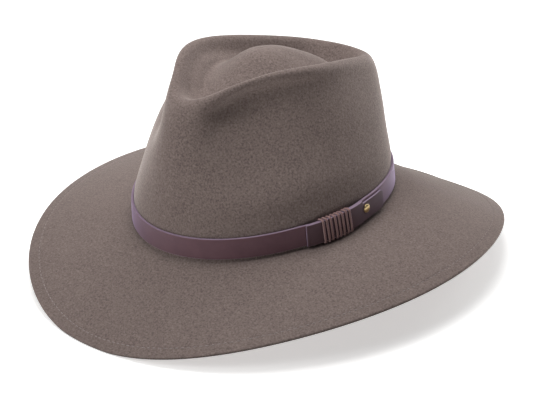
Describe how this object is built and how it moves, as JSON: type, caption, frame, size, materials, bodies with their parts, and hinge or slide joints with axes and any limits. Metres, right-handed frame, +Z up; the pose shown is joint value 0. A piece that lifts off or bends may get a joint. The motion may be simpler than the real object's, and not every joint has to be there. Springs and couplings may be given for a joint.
{
  "type": "felt hat",
  "caption": "Wide-brimmed soft felt hat with a pinched teardrop crown, a curved brim and a leather band with a bound tongue and a brass stud.",
  "frame": {"origin": "centre of the bounding box in plan, on the surface that the brim rests on", "axes": "+Z up; -Y the way the wearer faces; +X the wearer's left, where the band's tongue is"},
  "size_m": [0.3452, 0.3588, 0.1592],
  "materials": {
    "grey_brown_felt": "short brushed nap, no shine",
    "plum_brown_leather": "smooth, satin",
    "dark_brown_leather": "smooth, satin",
    "thong_leather": "matt, cut edges",
    "brass": "polished, slightly worn"
  },
  "bodies": {
    "root": {"felt_body": "grey_brown_felt", "band_strap": "plum_brown_leather", "band_tongue": "dark_brown_leather", "thong_winding": "thong_leather", "brass_stud": "brass"}
  },
  "joints": []
}
